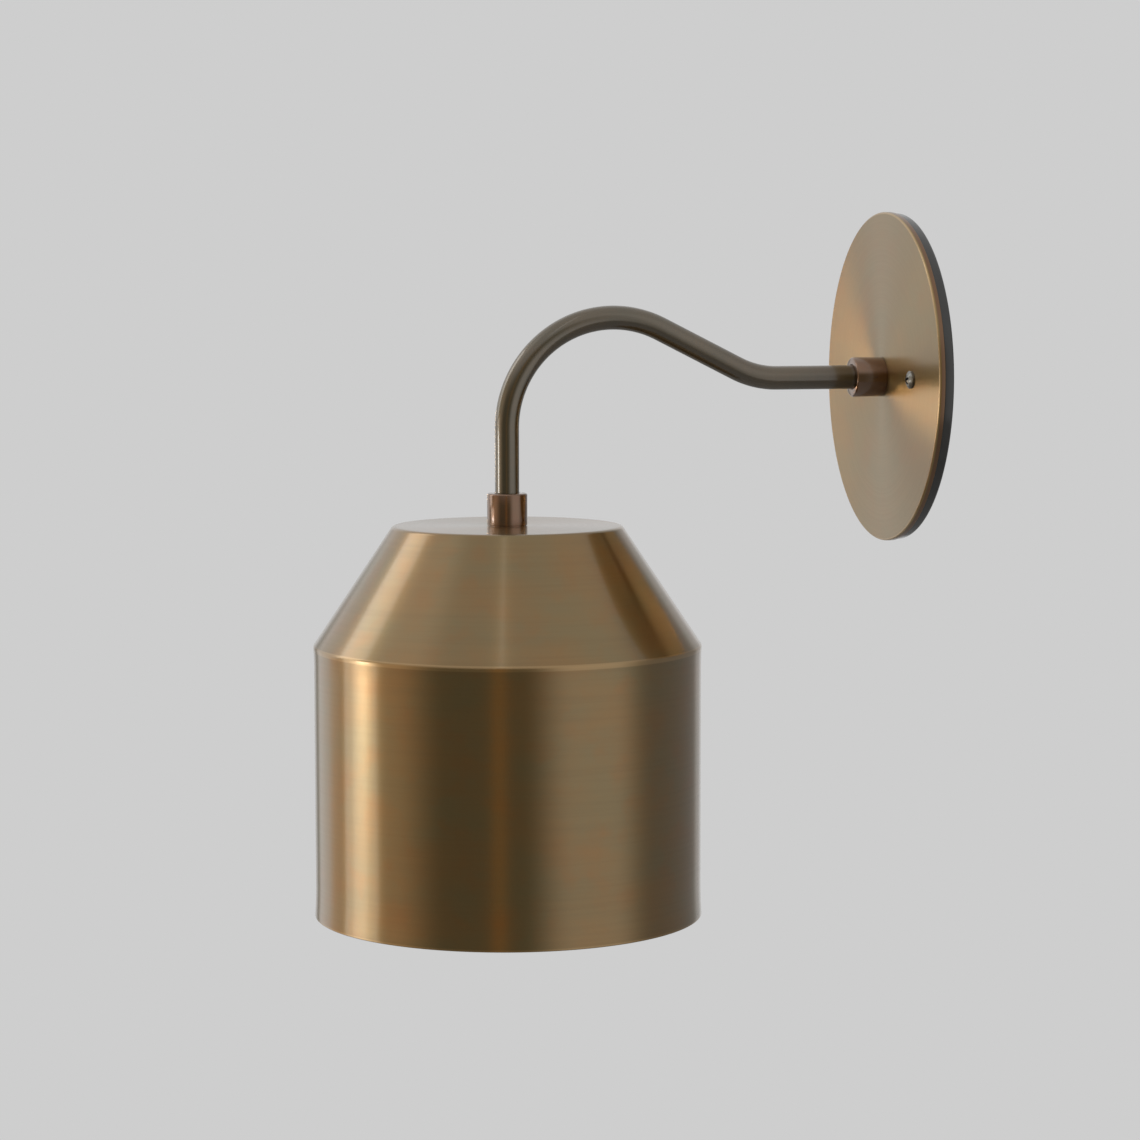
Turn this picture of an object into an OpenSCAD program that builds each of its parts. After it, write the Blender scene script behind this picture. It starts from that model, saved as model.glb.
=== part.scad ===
// Gooseneck wall sconce with a spun shade, in millimetres.
// Origin: on the wall plane, on the axis where the arm leaves the wall.
// +Z is up, +X is to the right for someone facing the wall, and the sconce reaches along -Y.

/* [Wall plate] */
// Diameter of the round face plate
plate_d = 132; // [128:1:170]
// Thickness of the face plate
plate_t = 2.4; // [1.6:0.1:4]
// Edge break round the face plate's front
plate_edge = 0.5; // [0.1:0.1:0.8]
// How far the backing ring's edge lies inside the plate's edge
ring_inset = 0.5; // [0:0.1:3]
// Rounding of the backing ring's outer edge on the wall side
ring_round = 1.7; // [0.3:0.1:2.5]
// Space left between the crossbar's ends and the backing ring
ring_gap = 2.5; // [1:0.5:6]
// Spacing of the two screws that hold the plate
plate_screw_gap = 69.85; // [60:0.05:76]
// Thread diameter of the plate screws
plate_screw_d = 4.1; // [3:0.1:5]
// Head diameter of the plate screws
plate_head_d = 7; // [6:0.1:9]
// Head height of the plate screws
plate_head_h = 2.3; // [1.8:0.1:3]

/* [Crossbar] */
// Spacing of the wall box's two screws
box_screw_gap = 88.9; // [86:0.1:92]
// Width of the slots for the box screws
box_slot_w = 4.8; // [4.2:0.1:5.5]
// End-to-end length of those slots
box_slot_l = 9; // [6:0.5:11]
// Metal left between a slot and the crossbar's end
bar_end = 3.6; // [2.5:0.1:6]
// Width of the crossbar
bar_w = 32; // [28:1:40]
// Thickness of the crossbar
bar_t = 1.5; // [1.2:0.1:2.5]
// Diameter of the opening for the nut and the wires
bar_hole_d = 22; // [20:1:26]
// Distance of the ground screw from the middle
ground_x = 21; // [19:0.5:24]
// Thread diameter of the ground screw
ground_screw_d = 4.8; // [3.5:0.1:5]
// Head diameter of the ground screw
ground_head_d = 8; // [7:0.1:9]
// Head height of the ground screw
ground_head_h = 1; // [0.8:0.1:2]
// Diameter of the ground wire
ground_wire_d = 1.2; // [1:0.1:1.6]

/* [Arm] */
// Distance from the wall to the shade's axis
arm_reach = 161.3; // [150:0.1:240]
// Height of the arm's wall end above the shade's top
shade_drop = 56.7; // [48:0.1:90]
// Outer diameter of the tube
tube_d = 9.525; // [8.5:0.005:10.5]
// Wall thickness of the tube
tube_wall = 0.8; // [0.6:0.1:1]
// Distance from the wall to where the tube starts to bend up
level_run = 50.7; // [40:0.1:60]
// Radius of the first bend, on the tube's centre line
low_bend_r = 37.5; // [16:0.5:45]
// Slope of the rising stretch, in degrees
slope = 26.7; // [15:0.1:35]
// Radius of the arch, on the tube's centre line
arch_r = 43; // [35:0.5:50]

/* [Collars] */
// Outer diameter of both collars
collar_d = 15.875; // [14:0.005:20]
// Length of both collars
collar_l = 12.7; // [11:0.1:20]
// Bevel round a collar's outer end
collar_bevel = 0.5; // [0.2:0.1:1]
// Relief groove where a collar meets its plate or shade
collar_foot = 0.3; // [0.1:0.1:0.8]
// How deep the tube sits in a collar
tube_seat = 7; // [4:0.1:7.5]
// Outer diameter of the threaded nipples
nipple_d = 9.7; // [9:0.1:10.5]
// Bore of the nipples, for the wires
nipple_bore = 6.4; // [5.5:0.1:7]
// How deep a nipple screws into a collar
nipple_seat = 4.6; // [3:0.1:5]
// Width of the nuts across their flats
nut_af = 14.3; // [13:0.1:16]
// Thickness of the nuts
nut_t = 2.4; // [2:0.1:3]
// Outer diameter of the lock washers
lock_d = 15; // [13.5:0.1:17]
// Thickness of the lock washers
lock_t = 0.8; // [0.6:0.1:1.2]
// Width of the split in a lock washer
lock_split = 1; // [0.6:0.1:2]

/* [Shade] */
// Diameter of the shade's straight side
shade_d = 152.4; // [140:0.1:190]
// Diameter of its flat top
shade_top_d = 90.2; // [60:0.1:110]
// Height of the cone
cone_h = 47; // [30:0.5:60]
// Overall height of the shade
shade_h = 154; // [150:0.5:200]
// Thickness of the sheet
shade_wall = 1; // [0.8:0.1:1.6]
// Radius of the corner round the flat top
top_corner_r = 2.2; // [1.8:0.1:6]
// Radius of the shoulder between cone and side
shoulder_r = 2; // [1.8:0.1:8]
// How far the shoulder stands out from the side
shoulder_proud = 0.25; // [0:0.05:1]
// Height over which the shoulder fades into the side
shoulder_fade = 7; // [4:0.5:15]
// How far the rim flares out
rim_flare = 0.4; // [0:0.05:2]
// Height over which the rim flares
rim_flare_h = 13; // [5:0.5:25]
// Rounding of the rim's two edges
rim_round = 0.3; // [0.1:0.05:0.45]
// Diameter of the washer under the shade's top
shade_washer_d = 25.4; // [20:0.1:40]
// Thickness of that washer
shade_washer_t = 1; // [0.6:0.1:2]

/* [Lamp holder] */
// Outer diameter of the lamp holder
holder_d = 39; // [37:0.5:46]
// Outer diameter of the lamp holder at its mouth
holder_mouth_d = 35.6; // [33:0.1:37]
// Height of the porcelain body
holder_h = 48; // [46:0.5:60]
// Thickness of the holder's steel cap
cap_t = 1.4; // [1:0.1:2.5]
// Diameter of the cap's threaded hub
hub_d = 16; // [14:0.5:20]
// Height of that hub
hub_h = 3.8; // [2.5:0.1:6]
// Diameter of the wiring chamber
chamber_d = 24.4; // [24:0.1:25]
// Depth of the wiring chamber
chamber_h = 9; // [8:0.1:12]
// Thickness of the porcelain web under the chamber
web_t = 5; // [4:0.1:8]
// Spacing of the two screws that hold the cap
cap_screw_gap = 31.6; // [30.5:0.1:32]
// Thread diameter of the cap screws
cap_screw_d = 3.2; // [2.5:0.1:3.5]
// How deep the cap screws reach into the porcelain
cap_screw_grip = 8; // [5:0.5:12]
// Inner diameter of the screw shell
shell_bore = 27.2; // [27:0.1:27.6]
// Thickness of the screw shell
shell_wall = 0.5; // [0.4:0.05:0.7]
// Height of the screw shell
shell_h = 20; // [15:0.5:30]
// Distance of a terminal screw from the middle
terminal_x = 8; // [7.6:0.1:8.3]
// Width of the terminal plates
terminal_w = 6; // [5:0.1:8]
// Thickness of the terminal plates
terminal_t = 0.8; // [0.6:0.1:1.2]
// Thread diameter of the terminal screws
terminal_screw_d = 2.9; // [2.5:0.1:3.2]
// Head diameter of the terminal screws
terminal_head_d = 5.4; // [5.2:0.1:5.8]
// Head height of the terminal screws
terminal_head_h = 1.8; // [1.2:0.1:2.4]
// Diameter of the centre contact's rivet
rivet_d = 4; // [3:0.1:4.2]
// Height of the centre contact's spring dome
contact_h = 1.5; // [1:0.1:3]

/* [Wires] */
// Diameter of an insulated lead
lead_d = 2; // [1.6:0.1:2.4]
// Diameter of a lead's bare conductor
wire_d = 1; // [0.8:0.1:1.2]
// Distance between the centres of the two leads
lead_pitch = 2.8; // [2.6:0.1:3.4]

/* [Lamp] */
// Greatest diameter of the bulb
bulb_d = 60; // [45:1:66]
// Overall length of the bulb, from its centre contact
bulb_l = 108; // [95:1:112]
// Diameter of its screw cap
bulb_cap_d = 26; // [25.6:0.1:26.2]
// Height of its screw cap
bulb_cap_h = 21.6; // [19:0.1:24]
// Diameter of the glass neck
bulb_neck_d = 25; // [24:0.1:25.2]
// Thickness of the glass
glass_t = 0.8; // [0.6:0.1:1.2]
// Diameter of a filament
filament_d = 1.8; // [1:0.1:3]
// Length of a filament
filament_l = 32; // [20:1:38]

/* [Clearances] */
// Radial gap between a thread and its nut or hole
thread_gap = 0.05; // [0.03:0.01:0.1]
// Radial gap round a screw or nipple that only passes through
pass_gap = 0.3; // [0.15:0.05:0.5]
// Gap behind the face plate in front of the ground screw
plate_gap = 0.3; // [0.2:0.1:1]
// Gap between the bulb and the lamp holder's centre contact
lamp_gap = 0.3; // [0.3:0.05:0.5]

/* [Hidden] */
$fn = 96;

// Heights above the wall plane
bar_l = box_screw_gap + box_slot_l + 2 * bar_end;
ring_t = bar_t + ground_wire_d + ground_head_h + plate_gap;
plate_front = ring_t + plate_t;
ring_d = plate_d - 2 * ring_inset;
ring_bore = bar_l + 2 * ring_gap;

// Ring terminal on the ground lead, clamped behind the plate
tag_t = 0.5;
tag_w = 3;
tag_barrel_d = 1.5;
tag_neck = 1;
tag_barrel_l = 3;
tag_barrel_x = lock_d / 2 + tag_neck;
tag_grip = 1;
tag_rise = 0.5;
hook_turn = 250;
lock_front = ring_t - tag_t;
nut_front = lock_front - lock_t;
nut_back = nut_front - nut_t;
nut_r = nut_af / 2 / cos(30);
nipple_r = nipple_d / 2;
tube_r = tube_d / 2;

// Arm: the arch's centre, and the rising stretch between the two bends
arch_y = arm_reach - arch_r;
rise_start = [level_run + low_bend_r * sin(slope), low_bend_r * (1 - cos(slope))];
rise_l = (arch_y - arch_r * sin(slope) - rise_start[0]) / cos(slope);
arch_z = rise_start[1] + rise_l * sin(slope) - arch_r * cos(slope);
// How far a cutter runs past the face it cuts
over = 1;
// How far a bend laps over its straight stretches, and how much thicker it is
bend_lap = 0.6;
bend_swell = 0.03;

// Depths below the shade's flat top
washer_at = shade_wall;
lock_at = washer_at + shade_washer_t;
nut_at = lock_at + lock_t;
hub_at = nut_at + nut_t;
cap_at = hub_at + hub_h;
holder_at = cap_at + cap_t;
web_at = holder_at + chamber_h;
bay_at = web_at + web_t;
contact_flange_t = 0.6;
contact_foot_r = 3.2;
contact_top_r = 2.4;
tip_at = bay_at + contact_flange_t + contact_h + lamp_gap;

// Lamp holder
holder_lip = 1.5;
bay_r = shell_bore / 2 + shell_wall + thread_gap;
terminal_at = web_at - terminal_t;
loop_at = terminal_at - wire_d / 2;
loop_r = terminal_screw_d / 2 + wire_d / 2 + thread_gap;
loop_turn = 270;
elbow_r = 2.5;
elbow_at = loop_at - elbow_r;
tongue_in = 1.9;
tongue_x = chamber_d / 2 - tongue_in;
tongue_t = 0.8;
tongue_w = 4;
terminal_grip = 3.4;
screw_room = 0.4;
flange_bore = 7;

// Lamp: depths from its centre contact
tip_h = 1.2;
tip_r = 2.4;
tip_foot_r = 3.2;
insulator_r = 9;
insulator_top_r = 4.5;
insulator_at = 3;
insulator_t = 2;
cap_lip = 0.4;
cap_cone_h = 3;
cap_sheet = 0.4;
globe_r = bulb_d / 2;
globe_at = bulb_l - globe_r;
neck_r = bulb_neck_d / 2;
neck_in = 4;
neck_out = 8;
neck_at = bulb_cap_h - neck_in;
neck_end = bulb_cap_h + neck_out;
stem_r = 4;
stem_out = 24;
stem_end = bulb_cap_h + stem_out;
filament_ring = 7;
post_d = 0.8;

// Points of a circular arc, from one angle to another
function arc(centre, r, from, to, steps) =
    [for (i = [0 : steps]) let (a = from + (to - from) * i / steps) centre + r * [cos(a), sin(a)]];

// Turns a list of points round to run backwards
function back(list) = [for (i = [len(list) - 1 : -1 : 0]) list[i]];

// A piece that stands out from the wall: its Z is the distance from the wall plane
module off_wall(h = 0) translate([0, -h, 0]) rotate([90, 0, 0]) children();

// A piece on the shade's axis: its Z is the depth below the shade's flat top
module below_top(d = 0) translate([0, -arm_reach, -shade_drop - d]) mirror([0, 0, 1]) children();

module ring(h, r, bore) {
    difference() {
        cylinder(h = h, r = r);
        translate([0, 0, -over]) cylinder(h = h + 2 * over, r = bore);
    }
}

// Split spring washer
module lock_washer() {
    difference() {
        ring(lock_t, lock_d / 2, nipple_r + thread_gap);
        translate([-lock_split / 2, 0, -over]) cube([lock_split, lock_d, lock_t + 2 * over]);
    }
}

module hex_nut() {
    difference() {
        cylinder(h = nut_t, r = nut_r, $fn = 6);
        translate([0, 0, -over]) cylinder(h = nut_t + 2 * over, r = nipple_r + thread_gap);
    }
}

// Domed screw head with a cross recess, standing on Z = 0
module cross_head(d, h) {
    dome = h * 0.6;
    ball_r = (d * d / 4 + dome * dome) / (2 * dome);
    recess = [d * 0.52, d * 0.14, h * 0.6];
    difference() {
        intersection() {
            cylinder(h = h, r = d / 2);
            translate([0, 0, h - ball_r]) sphere(r = ball_r);
        }
        for (turn = [0, 90]) rotate([0, 0, turn])
            translate([-recess[0] / 2, -recess[1] / 2, h - recess[2]]) cube([recess[0], recess[1], h]);
    }
}

// Round bar or tube along the arm's centre line, in the plane x = side.
// It starts at a distance from the wall and ends at a depth below the arm's wall end.
module along_arm(r, bore, start, end, side = 0) {
    rotate([90, 0, 90]) translate([0, 0, side]) {
        stretch([-start, 0], 180, level_run - start, r, bore);
        bend([-level_run, low_bend_r], low_bend_r, 270 - slope, 270, r, bore);
        stretch([-rise_start[0], rise_start[1]], 180 - slope, rise_l, r, bore);
        bend([-arch_y, arch_z], arch_r, 90 - slope, 180, r, bore);
        stretch([-arm_reach, arch_z], 270, arch_z + end, r, bore);
    }
}

module stretch(from, heading, length, r, bore) {
    translate(from) rotate([0, 90, heading]) difference() {
        cylinder(h = length, r = r);
        if (bore > 0) translate([0, 0, -over]) cylinder(h = length + 2 * over, r = bore);
    }
}

// A bend laps over the stretches at its two ends, with its wall thicker by a hair
module bend(centre, bend_r, from, to, r, bore) {
    lap = bend_lap / bend_r * 180 / PI;
    translate(centre) rotate([0, 0, from - lap]) rotate_extrude(angle = to - from + 2 * lap)
        translate([bend_r, 0]) difference() {
            circle(r + bend_swell);
            if (bore > 0) circle(bore - bend_swell);
        }
}

// Collar with its foot at Z = 0: a thread for the nipple below, a seat for the tube above
module collar() {
    r = collar_d / 2;
    difference() {
        rotate_extrude() polygon([[0, 0], [r - collar_foot, 0], [r - collar_foot, collar_foot], [r, collar_foot],
            [r, collar_l - collar_bevel], [r - collar_bevel, collar_l], [0, collar_l]]);
        translate([0, 0, -over]) cylinder(h = nipple_seat + over, r = nipple_r + thread_gap);
        translate([0, 0, -over]) cylinder(h = collar_l + 2 * over, r = nipple_bore / 2);
        translate([0, 0, collar_l - tube_seat]) cylinder(h = tube_seat + over, r = tube_r + thread_gap);
        translate([0, 0, collar_l - collar_bevel])
            cylinder(h = 2 * collar_bevel, r1 = tube_r + thread_gap, r2 = tube_r + thread_gap + 2 * collar_bevel);
    }
}

// Nipple standing on Z = 0
module nipple(length) {
    ring(length, nipple_r, nipple_bore / 2);
}

// Outline of the spun sheet, moved inward by inset: radius, then depth below the flat top
function shade_line(inset) =
    let (side = shade_d / 2, proud = side + shoulder_proud,
         fall = atan2(cone_h, proud - shade_top_d / 2),
         top_t = top_corner_r * tan(fall / 2), side_t = shoulder_r * tan((90 - fall) / 2))
    concat(
        arc([shade_top_d / 2 - top_t, top_corner_r], top_corner_r - inset, -90, fall - 90, 8),
        arc([proud - shoulder_r, cone_h + side_t], shoulder_r - inset, fall - 90, 0, 8),
        [for (i = [1 : 4]) [proud - inset - shoulder_proud * i * (8 - i) / 16, cone_h + side_t + shoulder_fade * i / 4]],
        [for (i = [0 : 6]) [side - inset + rim_flare * i * i / 36, shade_h - rim_round - rim_flare_h * (6 - i) / 6]]);

function rim_line() =
    let (r = shade_d / 2 + rim_flare)
    concat(arc([r - rim_round, shade_h - rim_round], rim_round, 15, 90, 4),
           arc([r - shade_wall + rim_round, shade_h - rim_round], rim_round, 90, 165, 4));

// Wall side

module backing_ring() {
    r = ring_d / 2;
    color("#2f2d2a") off_wall() rotate_extrude() polygon(concat([[ring_bore / 2, 0]],
        arc([r - ring_round, ring_round], ring_round, -90, 0, 6), [[r, ring_t], [ring_bore / 2, ring_t]]));
}

module face_plate() {
    r = plate_d / 2;
    color("#96866d") off_wall(ring_t) difference() {
        rotate_extrude() polygon([[0, 0], [r, 0], [r, plate_t - plate_edge], [r - plate_edge, plate_t], [0, plate_t]]);
        translate([0, 0, -over]) cylinder(h = plate_t + 2 * over, r = nipple_r + pass_gap);
        for (side = [-1, 1]) translate([side * plate_screw_gap / 2, 0, -over])
            cylinder(h = plate_t + 2 * over, r = plate_screw_d / 2 + pass_gap);
    }
}

module plate_screws() {
    color("#8c8b86") for (side = [-1, 1]) translate([side * plate_screw_gap / 2, 0, 0]) off_wall() {
        cylinder(h = plate_front, r = plate_screw_d / 2);
        translate([0, 0, plate_front]) cross_head(plate_head_d, plate_head_h);
    }
}

// Strap between the wall box's screws, rounded at its ends to lie inside the backing ring
module crossbar() {
    color("#b5b7b6") off_wall() difference() {
        intersection() {
            translate([-bar_l / 2, -bar_w / 2, 0]) cube([bar_l, bar_w, bar_t]);
            cylinder(h = bar_t, r = bar_l / 2);
        }
        translate([0, 0, -over]) cylinder(h = bar_t + 2 * over, r = bar_hole_d / 2);
        translate([ground_x, 0, -over]) cylinder(h = bar_t + 2 * over, r = ground_screw_d / 2 + thread_gap);
        for (side = [-1, 1]) {
            translate([side * plate_screw_gap / 2, 0, -over])
                cylinder(h = bar_t + 2 * over, r = plate_screw_d / 2 + thread_gap);
            translate([side * box_screw_gap / 2, 0, -over]) slot(box_slot_l, box_slot_w, bar_t + 2 * over);
        }
    }
}

module slot(length, width, h) {
    run = length - width;
    translate([-run / 2, -width / 2, 0]) cube([run, width, h]);
    for (side = [-1, 1]) translate([side * run / 2, 0, 0]) cylinder(h = h, r = width / 2);
}

module ground_screw() {
    color("#3d7a4a") translate([ground_x, 0, 0]) off_wall() {
        cylinder(h = bar_t + ground_wire_d, r = ground_screw_d / 2);
        translate([0, 0, bar_t + ground_wire_d]) cylinder(h = ground_head_h, r = ground_head_d / 2);
    }
}

// Ring terminal behind the plate, and a bare wire that runs to the ground screw and hooks round it
module ground_lead() {
    wire_r = ground_wire_d / 2;
    hook_r = ground_screw_d / 2 + wire_r + thread_gap;
    hook_h = bar_t + wire_r;
    barrel_h = hook_h + tag_rise;
    away = ground_x - tag_barrel_x - tag_barrel_l + tag_grip;
    lean = acos(hook_r / away);
    run = away * sin(lean);
    color("#b8733f") off_wall() {
        translate([0, 0, ring_t - tag_t]) ring(tag_t, lock_d / 2, nipple_r + thread_gap);
        translate([lock_d / 2 - tag_neck, -tag_w / 2, ring_t - tag_t])
            cube([tag_barrel_l + tag_neck, tag_w, tag_t]);
        translate([tag_barrel_x, -tag_t, barrel_h]) cube([tag_grip, 2 * tag_t, ring_t - barrel_h]);
        translate([tag_barrel_x, 0, barrel_h]) rotate([0, 90, 0]) cylinder(h = tag_barrel_l, r = tag_barrel_d / 2);
        translate([ground_x - away, 0, barrel_h]) rotate([0, 90 + atan2(tag_rise, run), lean - 90])
            cylinder(h = run + bend_lap, r = wire_r - bend_swell);
        translate([ground_x, 0, hook_h]) rotate([0, 0, 180 + lean]) rotate_extrude(angle = hook_turn)
            translate([hook_r, 0]) circle(wire_r);
    }
}

module wall_nipple() {
    color("#b39a6b") off_wall(nut_back) nipple(plate_front + nipple_seat - nut_back);
}

module wall_lock_washer() {
    color("#b5b7b6") off_wall(nut_front) lock_washer();
}

module wall_nut() {
    color("#b39a6b") off_wall(nut_back) hex_nut();
}

module wall_collar() {
    color("#6b4a33") off_wall(plate_front) collar();
}

// Arm

module arm_tube() {
    start = plate_front + collar_l - tube_seat;
    end = shade_drop - collar_l + tube_seat;
    color("#5f5440") along_arm(tube_r, tube_r - tube_wall, start, end);
}

// An insulated lead from the wall's nipple to its terminal, on the side given
module lead(side) {
    along_arm(lead_d / 2, 0, nut_back, shade_drop + elbow_at, side * lead_pitch / 2);
    below_top() {
        elbow_x = lead_pitch / 2 + elbow_r;
        side_turn = side > 0 ? 0 : 180;
        rotate([0, 0, side_turn]) {
            translate([elbow_x, 0, elbow_at]) rotate([90, 0, 0]) rotate([0, 0, 90])
                rotate_extrude(angle = 90) translate([elbow_r, 0]) circle(wire_d / 2);
            translate([elbow_x, 0, loop_at]) rotate([0, 90, 0])
                cylinder(h = terminal_x - loop_r - elbow_x, r = wire_d / 2);
            translate([terminal_x, 0, loop_at]) rotate([0, 0, 180]) rotate_extrude(angle = loop_turn)
                translate([loop_r, 0]) circle(wire_d / 2);
        }
    }
}

module line_lead() {
    color("#1e1e1e") lead(-1);
}

module neutral_lead() {
    color("#e8e6e0") lead(1);
}

// Shade side

module shade_collar() {
    color("#6b4a33") below_top() mirror([0, 0, 1]) collar();
}

module shade_nipple() {
    color("#b39a6b") below_top(-nipple_seat) nipple(nipple_seat + holder_at);
}

module shade() {
    color("#826e52") below_top() difference() {
        rotate_extrude() polygon(concat([[0, 0]], shade_line(0), rim_line(), back(shade_line(shade_wall)),
            [[0, shade_wall]]));
        translate([0, 0, -over]) cylinder(h = shade_wall + 2 * over, r = nipple_r + pass_gap);
    }
}

module shade_washer() {
    color("#b39a6b") below_top(washer_at) ring(shade_washer_t, shade_washer_d / 2, nipple_r + pass_gap);
}

module shade_lock_washer() {
    color("#b5b7b6") below_top(lock_at) lock_washer();
}

module shade_nut() {
    color("#b39a6b") below_top(nut_at) hex_nut();
}

// Steel cap: a disc with a hub that screws onto the nipple
module socket_cap() {
    color("#b5b7b6") below_top(hub_at) difference() {
        union() {
            cylinder(h = hub_h + cap_t, r = hub_d / 2);
            translate([0, 0, hub_h]) cylinder(h = cap_t, r = holder_d / 2);
        }
        translate([0, 0, -over]) cylinder(h = hub_h + cap_t + 2 * over, r = nipple_r + thread_gap);
        for (side = [-1, 1]) translate([0, side * cap_screw_gap / 2, -over])
            cylinder(h = hub_h + cap_t + 2 * over, r = cap_screw_d / 2 + pass_gap / 2);
    }
}

module socket_cap_screws() {
    head_d = cap_screw_d * 1.8;
    head_h = cap_screw_d * 0.55;
    color("#8c8b86") for (side = [-1, 1]) translate([0, side * cap_screw_gap / 2, 0]) below_top(cap_at) {
        cylinder(h = cap_t + cap_screw_grip, r = cap_screw_d / 2);
        mirror([0, 0, 1]) cross_head(head_d, head_h);
    }
}

// Porcelain body: wiring chamber above, web, and the bay for the screw shell below
module socket_body() {
    r = holder_d / 2;
    mouth_r = holder_mouth_d / 2;
    color("#efece4") below_top(holder_at) difference() {
        rotate_extrude() polygon(concat(
            [[0, 0], [r, 0]],
            arc([r - holder_lip, chamber_h + web_t], holder_lip, 0, 60, 4),
            arc([mouth_r - holder_lip, holder_h - holder_lip], holder_lip, 10, 90, 5),
            [[0, holder_h]]));
        translate([0, 0, -over]) cylinder(h = chamber_h + over, r = chamber_d / 2);
        translate([0, 0, chamber_h + web_t]) cylinder(h = holder_h, r = bay_r);
        translate([0, 0, chamber_h]) cylinder(h = web_t + over, r = rivet_d / 2 + thread_gap);
        for (side = [-1, 1]) {
            translate([side * terminal_x, 0, chamber_h - over])
                cylinder(h = terminal_grip + over + screw_room, r = terminal_screw_d / 2 + pass_gap);
            translate([0, side * cap_screw_gap / 2, -over])
                cylinder(h = cap_screw_grip + over + screw_room, r = cap_screw_d / 2 + thread_gap);
        }
        translate([tongue_x - thread_gap, -tongue_w / 2 - pass_gap, chamber_h - over])
            cube([tongue_t + 2 * thread_gap, tongue_w + 2 * pass_gap, web_t + 2 * over]);
    }
}

// Screw shell, with a tongue through the web to the neutral terminal
module socket_shell() {
    r = shell_bore / 2 + shell_wall;
    color("#c9b27a") below_top() {
        translate([0, 0, bay_at]) ring(shell_h, r, shell_bore / 2);
        translate([0, 0, bay_at]) ring(shell_wall, r, flange_bore);
        translate([tongue_x, -tongue_w / 2, terminal_at])
            cube([tongue_t, tongue_w, terminal_t + web_t + shell_wall]);
        terminal_plate(terminal_x - terminal_head_d / 2, tongue_x + tongue_t);
    }
}

// Brass plate on the web between two distances from the middle, with its screw hole
module terminal_plate(from, to) {
    translate([0, 0, terminal_at]) difference() {
        translate([from, -terminal_w / 2, 0]) cube([to - from, terminal_w, terminal_t]);
        translate([terminal_x, 0, -over]) cylinder(h = terminal_t + 2 * over, r = terminal_screw_d / 2 + thread_gap);
    }
}

// Centre contact: spring dome below, rivet through the web, line terminal above
module socket_contact() {
    color("#c9a24e") below_top() {
        mirror([1, 0, 0]) terminal_plate(-rivet_d / 2, tongue_x);
        translate([0, 0, terminal_at]) cylinder(h = bay_at - terminal_at, r = rivet_d / 2);
        translate([0, 0, bay_at]) cylinder(h = contact_flange_t, r = rivet_d);
        translate([0, 0, bay_at + contact_flange_t]) cylinder(h = contact_h, r1 = contact_foot_r, r2 = contact_top_r);
    }
}

module terminal_screws() {
    color("#c9b27a") for (side = [-1, 1]) translate([side * terminal_x, 0, 0]) below_top(terminal_at - wire_d) {
        cylinder(h = wire_d + terminal_t + terminal_grip, r = terminal_screw_d / 2);
        mirror([0, 0, 1]) cross_head(terminal_head_d, terminal_head_h);
    }
}

// Lamp

// Outline of the envelope moved inward by inset: a straight neck, a cone and a globe
module envelope(inset) {
    r = globe_r - inset;
    neck = neck_r - inset;
    flank = globe_at - neck_end;
    touch = asin(r / norm([neck, flank])) - atan2(neck, flank);
    intersection() {
        union() {
            translate([0, globe_at]) circle(r);
            polygon([[-neck, neck_at], [neck, neck_at], [neck, neck_end],
                [r * cos(touch), globe_at - r * sin(touch)], [-r * cos(touch), globe_at - r * sin(touch)],
                [-neck, neck_end]]);
        }
        square([bulb_d, bulb_l + over]);
    }
}

module bulb_glass() {
    color("#f4f1ea") below_top(tip_at) rotate_extrude() difference() {
        envelope(0);
        envelope(glass_t);
        square([neck_r - glass_t, neck_at + over]);
    }
}

module bulb_cap() {
    r = bulb_cap_d / 2;
    lip_r = insulator_r + thread_gap;
    color("#c4c2bb") below_top(tip_at) rotate_extrude() polygon([
        [lip_r, insulator_at + cap_lip], [lip_r + cap_sheet, insulator_at + cap_lip],
        [r, insulator_at + cap_lip + cap_cone_h], [r, bulb_cap_h],
        [r - cap_sheet, bulb_cap_h], [r - cap_sheet, insulator_at + cap_lip + cap_cone_h + cap_sheet],
        [lip_r, insulator_at + 3 * cap_lip]]);
}

module bulb_insulator() {
    color("#26211f") below_top(tip_at) {
        translate([0, 0, tip_h]) cylinder(h = insulator_at - tip_h, r1 = insulator_top_r, r2 = insulator_r);
        translate([0, 0, insulator_at]) cylinder(h = insulator_t, r = insulator_r);
    }
}

module bulb_contact() {
    color("#bfc0bd") below_top(tip_at) cylinder(h = tip_h, r1 = tip_r, r2 = tip_foot_r);
}

// Glass stem with a flare that closes the neck
module bulb_stem() {
    color("#dfe6e6") below_top(tip_at) {
        translate([0, 0, neck_at]) cylinder(h = glass_t, r = neck_r - glass_t);
        translate([0, 0, neck_at]) cylinder(h = stem_end - neck_at, r = stem_r);
    }
}

// Four upright filaments between two crosses of wire, on the end of the stem
module bulb_filaments() {
    color("#e9c65a") below_top(tip_at + stem_end) for (turn = [0 : 90 : 270]) rotate([0, 0, turn]) {
        translate([filament_ring, 0, 0]) cylinder(h = filament_l, r = filament_d / 2);
        for (h = [0, filament_l - post_d]) translate([0, 0, h + post_d / 2]) rotate([0, 90, 0])
            cylinder(h = filament_ring, r = post_d / 2);
    }
}

backing_ring();
face_plate();
plate_screws();
crossbar();
ground_screw();
ground_lead();
wall_nipple();
wall_lock_washer();
wall_nut();
wall_collar();
arm_tube();
line_lead();
neutral_lead();
shade_collar();
shade_nipple();
shade();
shade_washer();
shade_lock_washer();
shade_nut();
socket_cap();
socket_cap_screws();
socket_body();
socket_shell();
socket_contact();
terminal_screws();
bulb_glass();
bulb_cap();
bulb_insulator();
bulb_contact();
bulb_stem();
bulb_filaments();
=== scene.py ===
import math
import bpy
from mathutils import Matrix, Vector


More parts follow.
